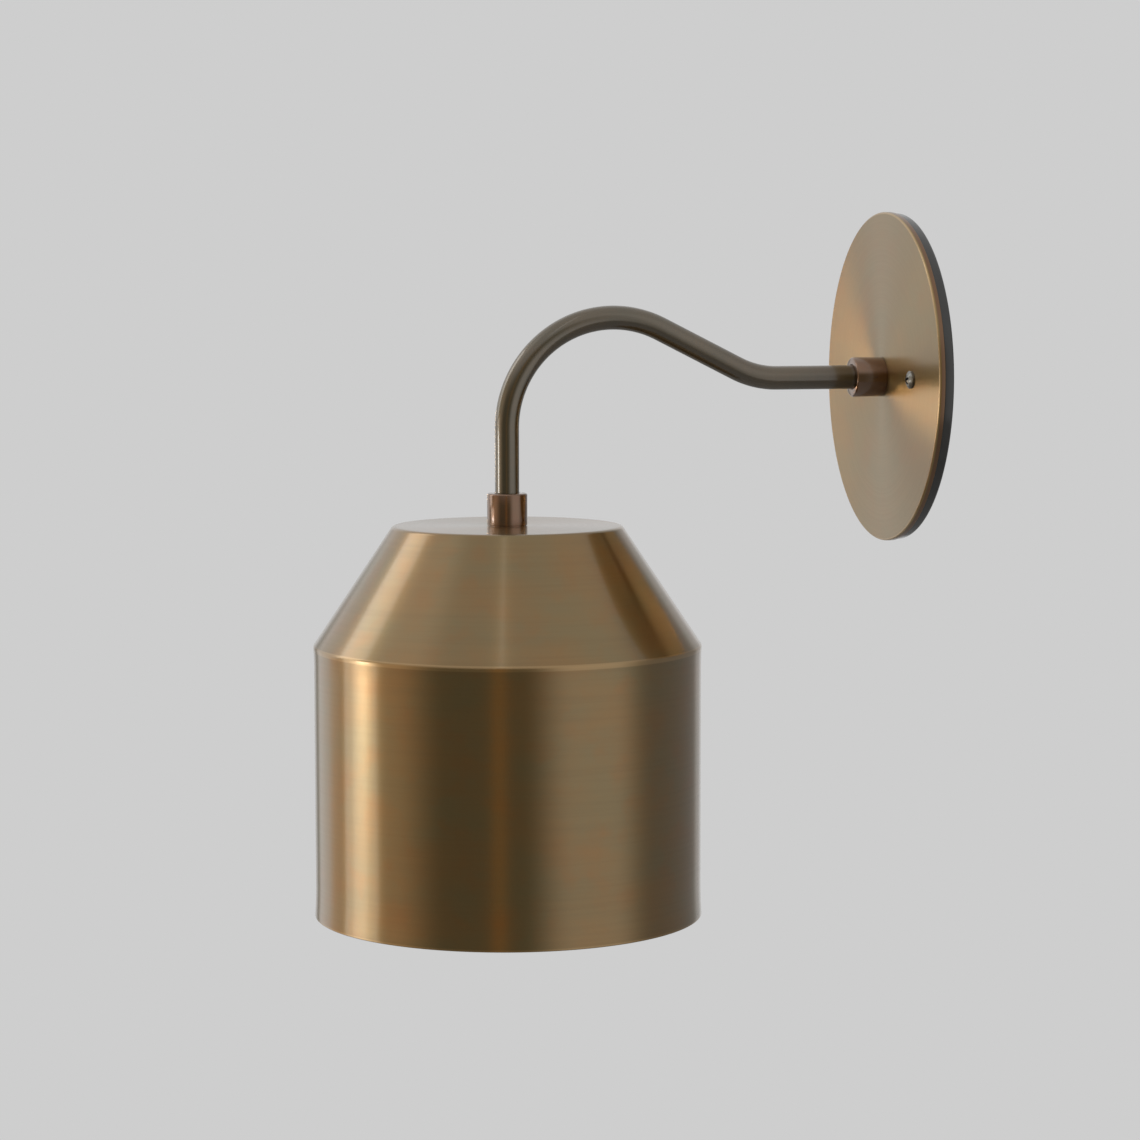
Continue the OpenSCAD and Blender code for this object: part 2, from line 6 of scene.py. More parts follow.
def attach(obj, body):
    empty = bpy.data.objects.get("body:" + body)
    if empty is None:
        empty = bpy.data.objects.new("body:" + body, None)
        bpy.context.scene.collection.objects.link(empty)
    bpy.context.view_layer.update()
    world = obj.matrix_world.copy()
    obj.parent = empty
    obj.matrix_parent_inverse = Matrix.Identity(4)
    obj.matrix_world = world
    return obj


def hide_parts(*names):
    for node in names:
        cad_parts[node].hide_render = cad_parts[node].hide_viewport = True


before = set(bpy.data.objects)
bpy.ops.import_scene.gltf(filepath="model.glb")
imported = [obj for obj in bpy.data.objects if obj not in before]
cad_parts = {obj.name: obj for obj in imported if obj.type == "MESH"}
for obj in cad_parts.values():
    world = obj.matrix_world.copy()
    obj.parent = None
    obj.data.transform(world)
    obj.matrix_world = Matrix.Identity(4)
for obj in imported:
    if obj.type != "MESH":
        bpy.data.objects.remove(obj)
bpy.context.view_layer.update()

# Gooseneck wall sconce in aged brass. Lengths in the tables are in millimetres, the scene is in metres.
# +Z is up, the wall is the plane y = 0, and the sconce reaches along -Y.
mm = 0.001
fullTurn = 2 * math.pi
weldGap = 0.002 * mm
scene = bpy.context.scene
print("frame loaded:", len(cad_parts), "nodes")


# Camera

cameraView = {
    "place": (1228.1, -447.4, 47.3),
    "azimuth": 75.768,  # 0 looks along +Y, 90 along -X
    "elevation": 5.513,
    "roll": -0.076,
    "lens": 101.69,
    "sensor": 36.0,
    "near": 50.0,
    "far": 100000.0,
}


def compass(azimuth, elevation):
    # the direction from the object to a viewer at these angles in degrees
    a, e = math.radians(azimuth), math.radians(elevation)
    return Vector((math.sin(a) * math.cos(e), -math.cos(a) * math.cos(e), math.sin(e)))


def setCamera(view):
    bpy.ops.object.camera_add(location=[mm * v for v in view["place"]])
    camera = bpy.context.object
    camera.name = "photoCamera"
    camera.data.sensor_width = view["sensor"]
    camera.data.lens = view["lens"]
    camera.data.clip_start = view["near"] * mm
    camera.data.clip_end = view["far"] * mm
    aim = (-compass(view["azimuth"], view["elevation"])).to_track_quat("-Z", "Y")
    camera.rotation_euler = aim.to_euler()
    camera.rotation_euler.rotate_axis("Z", math.radians(view["roll"]))
    scene.camera = camera


setCamera(cameraView)
scene.view_settings.view_transform = "Standard"
print("camera set")


# Material helpers

noiseSpan = (0.35, 0.65)  # most of a noise's values lie in here


def linearColour(code):
    # "#rrggbb" in sRGB to linear RGBA
    parts = [int(code[i:i + 2], 16) / 255 for i in (1, 3, 5)]
    return [p / 12.92 if p <= 0.04045 else ((p + 0.055) / 1.055) ** 2.4 for p in parts] + [1.0]


def addNode(tree, kind, settings=None):
    # a key is an input's name or number, or else a property of the node. A value that is a socket is linked.
    # Properties are listed first, because they decide which inputs a node has.
    node = tree.nodes.new(kind)
    for key, value in (settings or {}).items():
        if not isinstance(key, int) and key not in node.inputs:
            setattr(node, key, value)
        elif isinstance(value, bpy.types.NodeSocket):
            tree.links.new(value, node.inputs[key])
        else:
            node.inputs[key].default_value = linearColour(value) if isinstance(value, str) else value
    return node


def emptyTree(owner):
    owner.use_nodes = True
    owner.node_tree.nodes.clear()
    return owner.node_tree


def startMaterial(name):
    material = bpy.data.materials.new(name)
    return material, emptyTree(material)


def finishMaterial(tree, surface, marks, swing, relief, depth):
    # as the marks rise, the roughness falls from its value plus the swing to its value minus the swing.
    # The relief's depth is in millimetres.
    looks = dict(surface)
    if swing:
        looks["Roughness"] = addNode(tree, "ShaderNodeMapRange", {
            "Value": marks, "From Min": noiseSpan[0], "From Max": noiseSpan[1],
            "To Min": surface["Roughness"] + swing, "To Max": surface["Roughness"] - swing}).outputs[0]
    bump = addNode(tree, "ShaderNodeBump", {"Height": relief, "Distance": depth * mm, "Strength": 1.0})
    shader = addNode(tree, "ShaderNodeBsdfPrincipled", dict(looks, Normal=bump.outputs[0]))
    addNode(tree, "ShaderNodeOutputMaterial", {"Surface": shader.outputs[0]})


def objectNoise(tree, size, detail=2.0, stretch=(1, 1, 1)):
    # noise with blotches of a real size in millimetres
    where = addNode(tree, "ShaderNodeTexCoord")
    scale = [s / (size * mm) for s in stretch]
    scaled = addNode(tree, "ShaderNodeMapping", {"Vector": where.outputs["Object"], "Scale": scale})
    noise = addNode(tree, "ShaderNodeTexNoise", {"Vector": scaled.outputs[0], "Scale": 1.0, "Detail": detail})
    return noise.outputs["Fac"]


def tint(tree, source, span, first, second, share=1.0):
    # the second colour takes over, up to its share, while the source goes from the span's start to its end
    ramp = addNode(tree, "ShaderNodeMapRange",
                   {"Value": source, "From Min": span[0], "From Max": span[1], "To Max": share})
    return addNode(tree, "ShaderNodeMix",
                   {"data_type": "RGBA", 0: ramp.outputs[0], 6: first, 7: second}).outputs[2]


def softWindow(tree, value, low, high, soft):
    # 1 between low and high, falling off over the soft edge
    ramps = []
    for edge, start, end in ((low, 0.0, 1.0), (high, 1.0, 0.0)):
        ramps.append(addNode(tree, "ShaderNodeMapRange",
                             {"interpolation_type": "SMOOTHSTEP", "Value": value, "From Min": edge - soft,
                              "From Max": edge + soft, "To Min": start, "To Max": end}).outputs[0])
    return addNode(tree, "ShaderNodeMath", {"operation": "MULTIPLY", 0: ramps[0], 1: ramps[1]}).outputs[0]


# Aged brass: an alloy of copper and zinc, darkened in a bath, with lines left by the lathe or the belt.
# The lines run round the piece, so what it mirrors is drawn out along its outline, and the bath leaves
# faint olive and orange clouds. Belt and lathe lines are about 0.1 mm apart, which is too fine to show, so
# they are drawn as coarse as they need to show.

agedBrassSpun = {
    "brass": "#9c7c50", "olive": "#937e57", "orange": "#a27647", "dark": "#806846",
    "roughness": 0.29, "roughnessSwing": 0.012, "stretch": 0.75,
    "lacquer": 0.9, "lacquerRoughness": 0.12, "lacquerIOR": 1.5,
    "line": 1.4, "lineReach": 60.0, "lineShade": 0.13, "lineSpan": (0.55, 0.3), "lineDepth": 0.0009,
    "cloud": 26.0, "cloudStretch": (1, 1, 1.6),
    "stain": 0.5, "stainSize": 0.45, "stainSpan": (0.5, 0.75), "stainStretch": (1, 1, 1.3),
    # bands along the outline, at rubbed edges and where light or shade is painted: its start and end along the
    # outline, its colour and its share
    # the lighter band at the shoulder is partly rubbed brass and partly a painted highlight; the band at the
    # rim is a rubbed edge
    "wearAndLight": ((95.4, 97.6, "#b9986a", 0.7), (202.4, 204.8, "#b9986a", 0.7)), "wearAndLightFade": 0.2,
}
agedBrassBrushed = dict(
    agedBrassSpun, brass="#a08353", olive="#9a8458", orange="#a47e4e", dark="#87704c",
    roughness=0.35, stretch=0.88, lacquer=0.75, lacquerRoughness=0.22,
    line=0.6, lineReach=30.0, lineShade=0.1, lineDepth=0.0007,
    # on the plate the lighter band on the front edge's round is a painted highlight, and the darker reddish
    # brown band on the side wall is painted shade
    wearAndLight=((60.1, 60.9, "#cfb083", 0.8), (61.3, 62.9, "#8a684c", 1.0)))
agedBrassTube = dict(
    agedBrassSpun, brass="#6c5d46", olive="#655a45", orange="#715c43", dark="#554837",
    roughness=0.37, stretch=0.25, lacquer=1.0, lacquerRoughness=0.1, lacquerIOR=1.85,
    line=0.8, lineReach=15.0, lineShade=0.08, lineDepth=0.0007, cloud=14.0, wearAndLight=())
agedBrassTurned = dict(
    agedBrassSpun, brass="#7f5734", olive="#785534", orange="#82512c", dark="#603f25",
    roughness=0.24, stretch=0.3, lacquer=1.0, lacquerRoughness=0.12, lacquerIOR=1.85,
    line=0.4, lineReach=12.0, lineShade=0.05, lineDepth=0.0004, cloud=9.0, wearAndLight=())


def agedBrass(name, look):
    material, tree = startMaterial(name)
    place = addNode(tree, "ShaderNodeTexCoord").outputs["Object"]
    grain = addNode(tree, "ShaderNodeUVMap", {"uv_map": "grain"})
    along = addNode(tree, "ShaderNodeSeparateXYZ", {0: grain.outputs[0]}).outputs[0]
    # the lines change fast along the outline and slowly round the piece
    slow = addNode(tree, "ShaderNodeVectorMath",
                   {"operation": "SCALE", 0: place, "Scale": 1 / (look["lineReach"] * mm)})
    fast = addNode(tree, "ShaderNodeMath", {"operation": "MULTIPLY", 0: along, 1: 1 / (look["line"] * mm)})
    apart = addNode(tree, "ShaderNodeCombineXYZ", {0: fast.outputs[0]})
    where = addNode(tree, "ShaderNodeVectorMath", {"operation": "ADD", 0: slow.outputs[0], 1: apart.outputs[0]})
    lines = addNode(tree, "ShaderNodeTexNoise",
                    {"Vector": where.outputs[0], "Scale": 1.0, "Detail": 3.0}).outputs["Fac"]
    clouds = objectNoise(tree, look["cloud"], 3.0, look["cloudStretch"])
    stains = objectNoise(tree, look["cloud"] * look["stainSize"], 4.0, look["stainStretch"])
    tone = tint(tree, clouds, noiseSpan, look["olive"], look["brass"])
    tone = tint(tree, stains, look["stainSpan"], tone, look["orange"], look["stain"])
    tone = tint(tree, lines, look["lineSpan"], tone, look["dark"], look["lineShade"])
    # bands along the outline in their own colour: rubbed edges, painted highlights and painted shade
    for start, end, colour, share in look["wearAndLight"]:
        band = softWindow(tree, along, start * mm, end * mm, look["wearAndLightFade"] * mm)
        tone = tint(tree, band, (0, 1), tone, colour, share)
    tangent = addNode(tree, "ShaderNodeTangent", {"direction_type": "UV_MAP", "uv_map": "grain"})
    surface = {"Base Color": tone, "Metallic": 1.0, "Roughness": look["roughness"],
               "Anisotropic": look["stretch"], "Tangent": tangent.outputs[0], "Coat Weight": look["lacquer"],
               "Coat Roughness": look["lacquerRoughness"], "Coat IOR": look["lacquerIOR"]}
    finishMaterial(tree, surface, lines, look["roughnessSwing"], lines, look["lineDepth"])
    return material


# Modelling helpers


def shares(count, first=0, last=None):
    # equal shares of a length, all of them from 0 to 1 or only some
    return [i / count for i in range(first, (count if last is None else last) + 1)]


def selectOnly(piece):
    bpy.ops.object.select_all(action="DESELECT")
    piece.select_set(True)
    bpy.context.view_layer.objects.active = piece


def startPiece(name):
    # a plane merged to one point at the origin, left in edit mode
    bpy.ops.object.select_all(action="DESELECT")
    bpy.ops.mesh.primitive_plane_add(size=mm)
    piece = bpy.context.object
    piece.name = piece.data.name = name
    bpy.ops.object.mode_set(mode="EDIT")
    bpy.ops.mesh.select_all(action="SELECT")
    bpy.ops.mesh.merge(type="CENTER")
    return piece


def closeMesh():
    # weld what lies side by side, turn all faces outward and leave edit mode
    bpy.ops.mesh.select_all(action="SELECT")
    bpy.ops.mesh.remove_doubles(threshold=weldGap)
    bpy.ops.mesh.normals_make_consistent(inside=False)
    bpy.ops.object.mode_set(mode="OBJECT")


def smoothPiece(piece, angle=28):
    selectOnly(piece)
    bpy.ops.object.shade_smooth_by_angle(angle=math.radians(angle))


def writeGrain(piece, lengths, turns, whole=None):
    # UV map "grain": U is the distance along the outline or the tube, V the turn round the axis.
    # A face over a seam takes the value that continues its other corners.
    layer = piece.data.uv_layers.new(name="grain")
    for face in piece.data.polygons:
        us = [lengths[i] for i in face.vertices]
        if whole and max(us) - min(us) > whole / 2:
            us = [whole if u < whole / 2 else u for u in us]
        vs = [turns[i] for i in face.vertices]
        if max(vs) - min(vs) > 0.5:
            vs = [v + 1 if v < 0 else v for v in vs]
        for loop, u, v in zip(face.loop_indices, us, vs):
            layer.data[loop].uv = (u, v)


def arcPoints(centre, radius, start, end, steps):
    # angles in degrees; a point is (distance from the axis, distance along it)
    angles = [math.radians(start + (end - start) * t) for t in shares(steps)]
    return [(centre[0] + radius * math.cos(a), centre[1] + radius * math.sin(a)) for a in angles]


def placeOn(axis, centre, radius, along):
    # "down" measures along -Z from the centre, "out" along -Y
    cx, cy, cz = centre
    return Vector((cx + radius, cy, cz - along) if axis == "down" else (cx + radius, cy - along, cz))


def turnPiece(name, outline, axis, centre, sides, closed=True):
    # the outline is drawn by extruding one point along it, then spun round the axis
    piece = startPiece(name)
    if closed and outline[0] != outline[-1]:
        outline = outline + [outline[0]]
    centre = [mm * v for v in centre]
    points = [placeOn(axis, centre, r * mm, h * mm) for r, h in outline]
    bpy.ops.transform.translate(value=points[0])
    for here, there in zip(points, points[1:]):
        bpy.ops.mesh.extrude_region_move(TRANSFORM_OT_translate={"value": there - here})
    bpy.ops.mesh.select_all(action="SELECT")
    spinAxis = (0, 0, 1) if axis == "down" else (0, 1, 0)
    bpy.ops.mesh.spin(steps=sides, angle=fullTurn, center=centre, axis=spinAxis)
    closeMesh()
    mapTurned(piece, points, axis, centre)
    smoothPiece(piece)
    return piece


def mapTurned(piece, points, axis, centre):
    middle = Vector(centre)
    flat = [((p - middle).x, -(p - middle).z if axis == "down" else -(p - middle).y) for p in points]
    lengths = [0.0]
    for a, b in zip(flat, flat[1:]):
        lengths.append(lengths[-1] + math.dist(a, b))
    uAt, vAt = [], []
    for vertex in piece.data.vertices:
        p = vertex.co - middle
        around, along = (p.y, -p.z) if axis == "down" else (p.z, -p.y)
        radius = math.hypot(p.x, around)
        nearest = min(range(len(flat)), key=lambda i: (flat[i][0] - radius) ** 2 + (flat[i][1] - along) ** 2)
        uAt.append(lengths[nearest])
        vAt.append(math.atan2(around, p.x) / fullTurn)
    writeGrain(piece, uAt, vAt, lengths[-1])


def dress(piece, material, node, body="fixture"):
    piece.data.materials.clear()
    piece.data.materials.append(material)
    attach(piece, body)
    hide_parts(node)


# Shade: brass sheet spun over a former

shadeSheet = {
    "axis": (0.0, -161.3, -56.7), "topWidth": 90.2, "width": 152.4, "coneHeight": 47.0, "height": 154.0,
    "sheet": 1.0, "topCorner": 2.2, "shoulder": 2.0, "shoulderProud": 0.25, "shoulderFade": 7.0,
    "rimFlare": 0.4, "rimFlareHeight": 13.0, "rimRound": 0.3, "hole": 10.3, "sides": 256,
    "topRings": 4, "topRingEnd": 4.0, "cornerSteps": 8, "fadeSteps": 4, "drumSteps": 6, "rimSteps": 4,
}


def shadeOutline(size, inset):
    side = size["width"] / 2
    proud = side + size["shoulderProud"]
    fall = math.degrees(math.atan2(size["coneHeight"], proud - size["topWidth"] / 2))
    topRun = size["topCorner"] * math.tan(math.radians(fall / 2))
    sideStart = size["coneHeight"] + size["shoulder"] * math.tan(math.radians((90 - fall) / 2))
    drumStart = sideStart + size["shoulderFade"]
    flareStart = size["height"] - size["rimRound"] - size["rimFlareHeight"]
    line = arcPoints((size["topWidth"] / 2 - topRun, size["topCorner"]), size["topCorner"] - inset,
                     -90, fall - 90, size["cornerSteps"])
    line += arcPoints((proud - size["shoulder"], sideStart), size["shoulder"] - inset,
                      fall - 90, 0, size["cornerSteps"])
    line += [(proud - inset - size["shoulderProud"] * t * (2 - t), sideStart + size["shoulderFade"] * t)
             for t in shares(size["fadeSteps"], 1)]
    line += [(side - inset, drumStart + (flareStart - drumStart) * t)
             for t in shares(size["drumSteps"], 1, size["drumSteps"] - 1)]
    line += [(side - inset + size["rimFlare"] * t * t, flareStart + size["rimFlareHeight"] * t)
             for t in shares(size["drumSteps"])]
    return line


def rimOutline(size):
    outer = size["width"] / 2 + size["rimFlare"]
    bend, steps = size["rimRound"], size["rimSteps"]
    low = size["height"] - bend
    return (arcPoints((outer - bend, low), bend, 15, 90, steps)
            + arcPoints((outer - size["sheet"] + bend, low), bend, 90, 165, steps))


def makeShade(size):
    hole = size["hole"] / 2
    rings = [hole + (size["topWidth"] / 2 - size["topRingEnd"] - hole) * t for t in shares(size["topRings"])]
    outline = [(r, 0.0) for r in rings] + shadeOutline(size, 0) + rimOutline(size)
    outline += shadeOutline(size, size["sheet"])[::-1] + [(r, size["sheet"]) for r in rings[::-1]]
    return turnPiece("spunShade", outline, "down", size["axis"], size["sides"])


dress(makeShade(shadeSheet), agedBrass("agedBrassSpun", agedBrassSpun), "shade")
print("shade made")


# Wall plate: a brass disc brushed in circles, over a black spacer

wallPlate = {
    "width": 132.0, "back": 4.0, "front": 6.4, "edge": 0.8, "backBevel": 0.1, "hole": 10.3,
    "rings": 8, "ringEnd": 1.0, "edgeSteps": 4, "sides": 256,
}
wallSpacer = {
    "width": 131.0, "bore": 110.1, "thickness": 4.0, "edge": 0.35, "backEdge": 1.1,
    "edgeSteps": 4, "backEdgeSteps": 8, "sides": 192,
}


def makePlate(size):
    rim, edge, front, back = size["width"] / 2, size["edge"], size["front"], size["back"]
    hole, bevel = size["hole"] / 2, size["backBevel"]
    rings = [hole + (rim - size["ringEnd"] - hole) * t for t in shares(size["rings"])]
    outline = [(r, front) for r in rings]
    outline += arcPoints((rim - edge, front - edge), edge, 90, 0, size["edgeSteps"])
    outline += [(rim, back + bevel), (rim - bevel, back)] + [(r, back) for r in rings[::-1]]
    return turnPiece("wallPlate", outline, "out", (0, 0, 0), size["sides"])


def makeSpacer(size):
    rim, bore, edge, back = size["width"] / 2, size["bore"] / 2, size["edge"], size["backEdge"]
    high, steps = size["thickness"], size["edgeSteps"]
    outline = arcPoints((rim - edge, high - edge), edge, 90, 0, steps)
    outline += arcPoints((rim - back, back), back, 0, -90, size["backEdgeSteps"])
    outline += arcPoints((bore + edge, edge), edge, -90, -180, steps)
    outline += arcPoints((bore + edge, high - edge), edge, 180, 90, steps)
    return turnPiece("wallSpacer", outline, "out", (0, 0, 0), size["sides"])


def blackPowderCoat():
    # steel, powder coated black: a satin film with a faint orange peel, about 1.2 mm from crest to crest
    material, tree = startMaterial("blackPowderCoat")
    peel = objectNoise(tree, 1.2)
    dust = objectNoise(tree, 9.0, 3.0)
    surface = {"Base Color": tint(tree, dust, noiseSpan, "#1d1c1a", "#262522"), "Roughness": 0.39, "IOR": 1.5,
               "Coat Weight": 1.0, "Coat Roughness": 0.16}
    finishMaterial(tree, surface, dust, -0.05, peel, 0.02)
    return material


dress(makePlate(wallPlate), agedBrass("agedBrassBrushed", agedBrassBrushed), "face_plate")
dress(makeSpacer(wallSpacer), blackPowderCoat(), "backing_ring")
print("wall plate made")


# Collars: turned from brass bar, one on the plate and one on the shade

collar = {
    "width": 15.875, "length": 12.7, "bevel": 0.5, "groove": 0.3, "seatWidth": 9.625, "seatDepth": 7.0,
    "thread": 9.8, "threadDepth": 4.6, "bore": 6.4, "softEdge": 0.08, "sides": 96,
}


def collarOutline(size):
    r, high, bevel, groove = size["width"] / 2, size["length"], size["bevel"], size["groove"]
    seat, soft, thread, bore = size["seatWidth"] / 2, size["softEdge"], size["thread"] / 2, size["bore"] / 2
    seatFloor, threadTop = high - size["seatDepth"], size["threadDepth"]
    return [(thread, 0), (r - groove, 0), (r - groove, groove - soft), (r - soft, groove), (r, groove + soft),
            (r, high - bevel - soft), (r - soft, high - bevel + soft), (r - bevel + soft, high - soft),
            (r - bevel - soft, high), (seat + bevel, high), (seat, high - bevel), (seat, seatFloor),
            (bore, seatFloor), (bore, threadTop), (thread, threadTop)]


turnedBrass = agedBrass("agedBrassTurned", agedBrassTurned)
outward = collarOutline(collar)
upward = [(r, -h) for r, h in outward]
wallCollar = turnPiece("wallCollar", outward, "out", (0, -wallPlate["front"], 0), collar["sides"])
dress(wallCollar, turnedBrass, "wall_collar")
shadeCollar = turnPiece("shadeCollar", upward, "down", shadeSheet["axis"], collar["sides"])
dress(shadeCollar, turnedBrass, "shade_collar")
print("collars made")


# Arm: brass tube, bent twice

armTube = {
    "width": 9.525, "wall": 0.8, "start": 12.1, "levelRun": 50.7, "lowBend": 37.5, "slope": 26.7,
    "arch": 43.0, "reach": 161.3, "end": 51.0,
    "sides": 64, "runSteps": 8, "lowBendSteps": 14, "archSteps": 48, "stopGap": 0.5,
}


def armPath(size):
    # a place is (distance from the wall, height)
    slope = math.radians(size["slope"])
    archOut = size["reach"] - size["arch"]
    riseStart = (size["levelRun"] + size["lowBend"] * math.sin(slope), size["lowBend"] * (1 - math.cos(slope)))
    riseLength = (archOut - size["arch"] * math.sin(slope) - riseStart[0]) / math.cos(slope)
    archHeight = riseStart[1] + riseLength * math.sin(slope) - size["arch"] * math.cos(slope)
    return {"riseLength": riseLength, "lowCentre": (size["levelRun"], size["lowBend"]),
            "archCentre": (archOut, archHeight), "drop": archHeight + size["end"]}


def extrudeRun(out, up, steps):
    stride = (0, -out * mm / steps, up * mm / steps)
    for _ in range(steps):
        bpy.ops.mesh.extrude_region_move(TRANSFORM_OT_translate={"value": stride})


def spinBend(centre, angle, steps):
    bpy.ops.mesh.spin(steps=steps, angle=angle, center=(0, -centre[0] * mm, centre[1] * mm), axis=(1, 0, 0))


def makeArm(size):
    path, slope, steps = armPath(size), math.radians(size["slope"]), size["runSteps"]
    bpy.ops.object.select_all(action="DESELECT")
    bpy.ops.mesh.primitive_circle_add(vertices=size["sides"], radius=size["width"] / 2 * mm,
                                      location=(0, -size["start"] * mm, 0), rotation=(math.pi / 2, 0, 0))
    arm = bpy.context.object
    arm.name = arm.data.name = "armTube"
    bpy.ops.object.transform_apply(location=True, rotation=True, scale=True)
    bpy.ops.object.mode_set(mode="EDIT")
    bpy.ops.mesh.select_all(action="SELECT")
    extrudeRun(size["levelRun"] - size["start"], 0, steps)
    spinBend(path["lowCentre"], slope, size["lowBendSteps"])
    extrudeRun(path["riseLength"] * math.cos(slope), path["riseLength"] * math.sin(slope), steps)
    spinBend(path["archCentre"], -slope - math.pi / 2, size["archSteps"])
    extrudeRun(0, -path["drop"], steps)
    closeMesh()
    mapArm(arm, armStops(size, path))
    wall = arm.modifiers.new("wall", "SOLIDIFY")
    wall.thickness = size["wall"] * mm
    wall.offset = -1
    bpy.ops.object.modifier_apply(modifier="wall")
    smoothPiece(arm, 40)
    return arm


def armStops(size, path):
    # close stops on the centre line as (distance, out, up, heading), over its three runs and two bends
    slope, low, arch = math.radians(size["slope"]), size["lowBend"], size["arch"]
    parts = ((size["levelRun"] - size["start"], 0.0), (low * slope, 1 / low), (path["riseLength"], 0.0),
             (arch * (slope + math.pi / 2), -1 / arch), (path["drop"], 0.0))
    stops = []
    before, startOut, startUp, heading = 0.0, size["start"], 0.0, 0.0
    for length, bend in parts:
        for share in shares(math.ceil(length / size["stopGap"])):
            gone = length * share
            turned = heading + bend * gone
            if bend:
                out = startOut + (math.sin(turned) - math.sin(heading)) / bend
                up = startUp + (math.cos(heading) - math.cos(turned)) / bend
            else:
                out, up = startOut + gone * math.cos(heading), startUp + gone * math.sin(heading)
            stops.append((before + gone, out, up, turned))
        before, startOut, startUp, heading = stops[-1]
    return stops


def mapArm(arm, stops):
    uAt, vAt = [], []
    for vertex in arm.data.vertices:
        side, out, up = vertex.co.x / mm, -vertex.co.y / mm, vertex.co.z / mm
        gone, stopOut, stopUp, heading = min(stops, key=lambda stop: (stop[1] - out) ** 2 + (stop[2] - up) ** 2)
        ahead = (out - stopOut) * math.cos(heading) + (up - stopUp) * math.sin(heading)
        aside = (up - stopUp) * math.cos(heading) - (out - stopOut) * math.sin(heading)
        uAt.append((gone + ahead) * mm)
        vAt.append(math.atan2(aside, side) / fullTurn)
    writeGrain(arm, uAt, vAt)


dress(makeArm(armTube), agedBrass("agedBrassTube", agedBrassTube), "arm_tube")
print("arm made")


# Plain materials: light and dark marks of a size in millimetres, with a shallow relief


def marked(name, light, dark, roughness, swing, mark, extra=None, depth=0.01):
    material, tree = startMaterial(name)
    marks = objectNoise(tree, mark, 3.0)
    surface = {"Base Color": tint(tree, marks, noiseSpan, dark, light), "Roughness": roughness}
    finishMaterial(tree, {**surface, **(extra or {})}, marks, swing, marks, depth)
    return material


metal = {"Metallic": 1.0}

# nickel-plated steel screw, tumbled: a fine grey satin with small marks about 0.6 mm across
screwMetal = marked("nickelPlatedScrew", "#a5a49e", "#7c7b76", 0.35, 0.07, 0.6, metal)
# nickel-plated brass screw cap
capMetal = marked("nickelPlatedCap", "#c9c6bd", "#b0ada3", 0.25, 0.06, 2.5, metal)


# Plate screws: domed heads with a cross recess

plateScrew = {
    "gap": 69.85, "head": 7.0, "headHeight": 2.3, "dome": 1.38, "headBevel": 0.1, "shank": 4.1,
    "pitch": 0.8, "threadDepth": 0.25, "threadStart": 0.15, "threadEnd": 3.6,
    "slotLength": 3.64, "slotWidth": 0.98, "slotDepth": 1.38, "turns": (20, 65), "domeSteps": 10, "sides": 48,
}


def makeScrew(name, size, foot):
    r, shank, high, bevel = size["head"] / 2, size["shank"] / 2, size["headHeight"], size["headBevel"]
    core = shank - size["threadDepth"]
    ball = (r * r + size["dome"] ** 2) / (2 * size["dome"])
    outline, h = [(0.0, 0.0), (core, 0.0)], size["threadStart"]
    while h < size["threadEnd"]:
        outline += [(core, h), (shank, h + size["pitch"] / 2)]
        h += size["pitch"]
    outline += [(shank, h), (shank, foot), (r - bevel, foot), (r, foot + bevel)]
    lowest = math.degrees(math.asin((ball - size["dome"]) / ball))
    outline += arcPoints((0, foot + high - ball), ball, lowest, 90, size["domeSteps"])
    return turnPiece(name, outline, "out", (0, 0, 0), size["sides"], closed=False)


def cutCross(screw, size, foot, turn):
    for quarter in (0, 90):
        bpy.ops.object.select_all(action="DESELECT")
        bpy.ops.mesh.primitive_cube_add(size=1)
        bar = bpy.context.object
        bar.scale = (size["slotLength"] * mm, size["slotDepth"] * 2 * mm, size["slotWidth"] * mm)
        bar.rotation_euler = (0, math.radians(turn + quarter), 0)
        bar.location = (0, -(foot + size["headHeight"]) * mm, 0)
        bpy.ops.object.transform_apply(location=True, rotation=True, scale=True)
        selectOnly(screw)
        cut = screw.modifiers.new("recess", "BOOLEAN")
        cut.operation = "DIFFERENCE"
        cut.solver = "EXACT"
        cut.object = bar
        bpy.ops.object.modifier_apply(modifier="recess")
        bpy.data.objects.remove(bar)


for name, side, turn in zip(("plateScrewLeft", "plateScrewRight"), (-1, 1), plateScrew["turns"]):
    screw = makeScrew(name, plateScrew, wallPlate["front"])
    cutCross(screw, plateScrew, wallPlate["front"], turn)
    selectOnly(screw)
    bpy.ops.transform.translate(value=(side * plateScrew["gap"] / 2 * mm, 0, 0))
    bpy.ops.object.transform_apply(location=True, rotation=True, scale=True)
    smoothPiece(screw, 35)
    dress(screw, screwMetal, "plate_screws")
print("plate screws made")


# Lamp's cap: brass sheet rolled with a screw thread of seven turns an inch, then nickel plated

lampCap = {
    "axis": (0.0, -161.3, -83.5), "width": 26.0, "sheet": 0.3, "lip": 9.1, "lipAt": 3.4, "coneEnd": 6.4,
    "skirt": 21.6, "pitch": 3.6286, "threadDepth": 0.62, "threadEnd": 18.4, "fade": 1.2,
    "rows": 44, "sides": 72,
}


def makeLampCap(size):
    r, sheet, lip = size["width"] / 2, size["sheet"], size["lip"]
    lipAt, coneEnd = size["lipAt"], size["coneEnd"]
    wall = [coneEnd + (size["skirt"] - coneEnd) * t for t in shares(size["rows"])]
    outline = [(lip, lipAt), (lip + sheet, lipAt)] + [(r, h) for h in wall]
    outline += [(r - sheet, h) for h in wall[:0:-1]] + [(r - sheet, coneEnd + sheet), (lip, lipAt + 2 * sheet)]
    return turnPiece("lampCap", outline, "down", size["axis"], size["sides"])


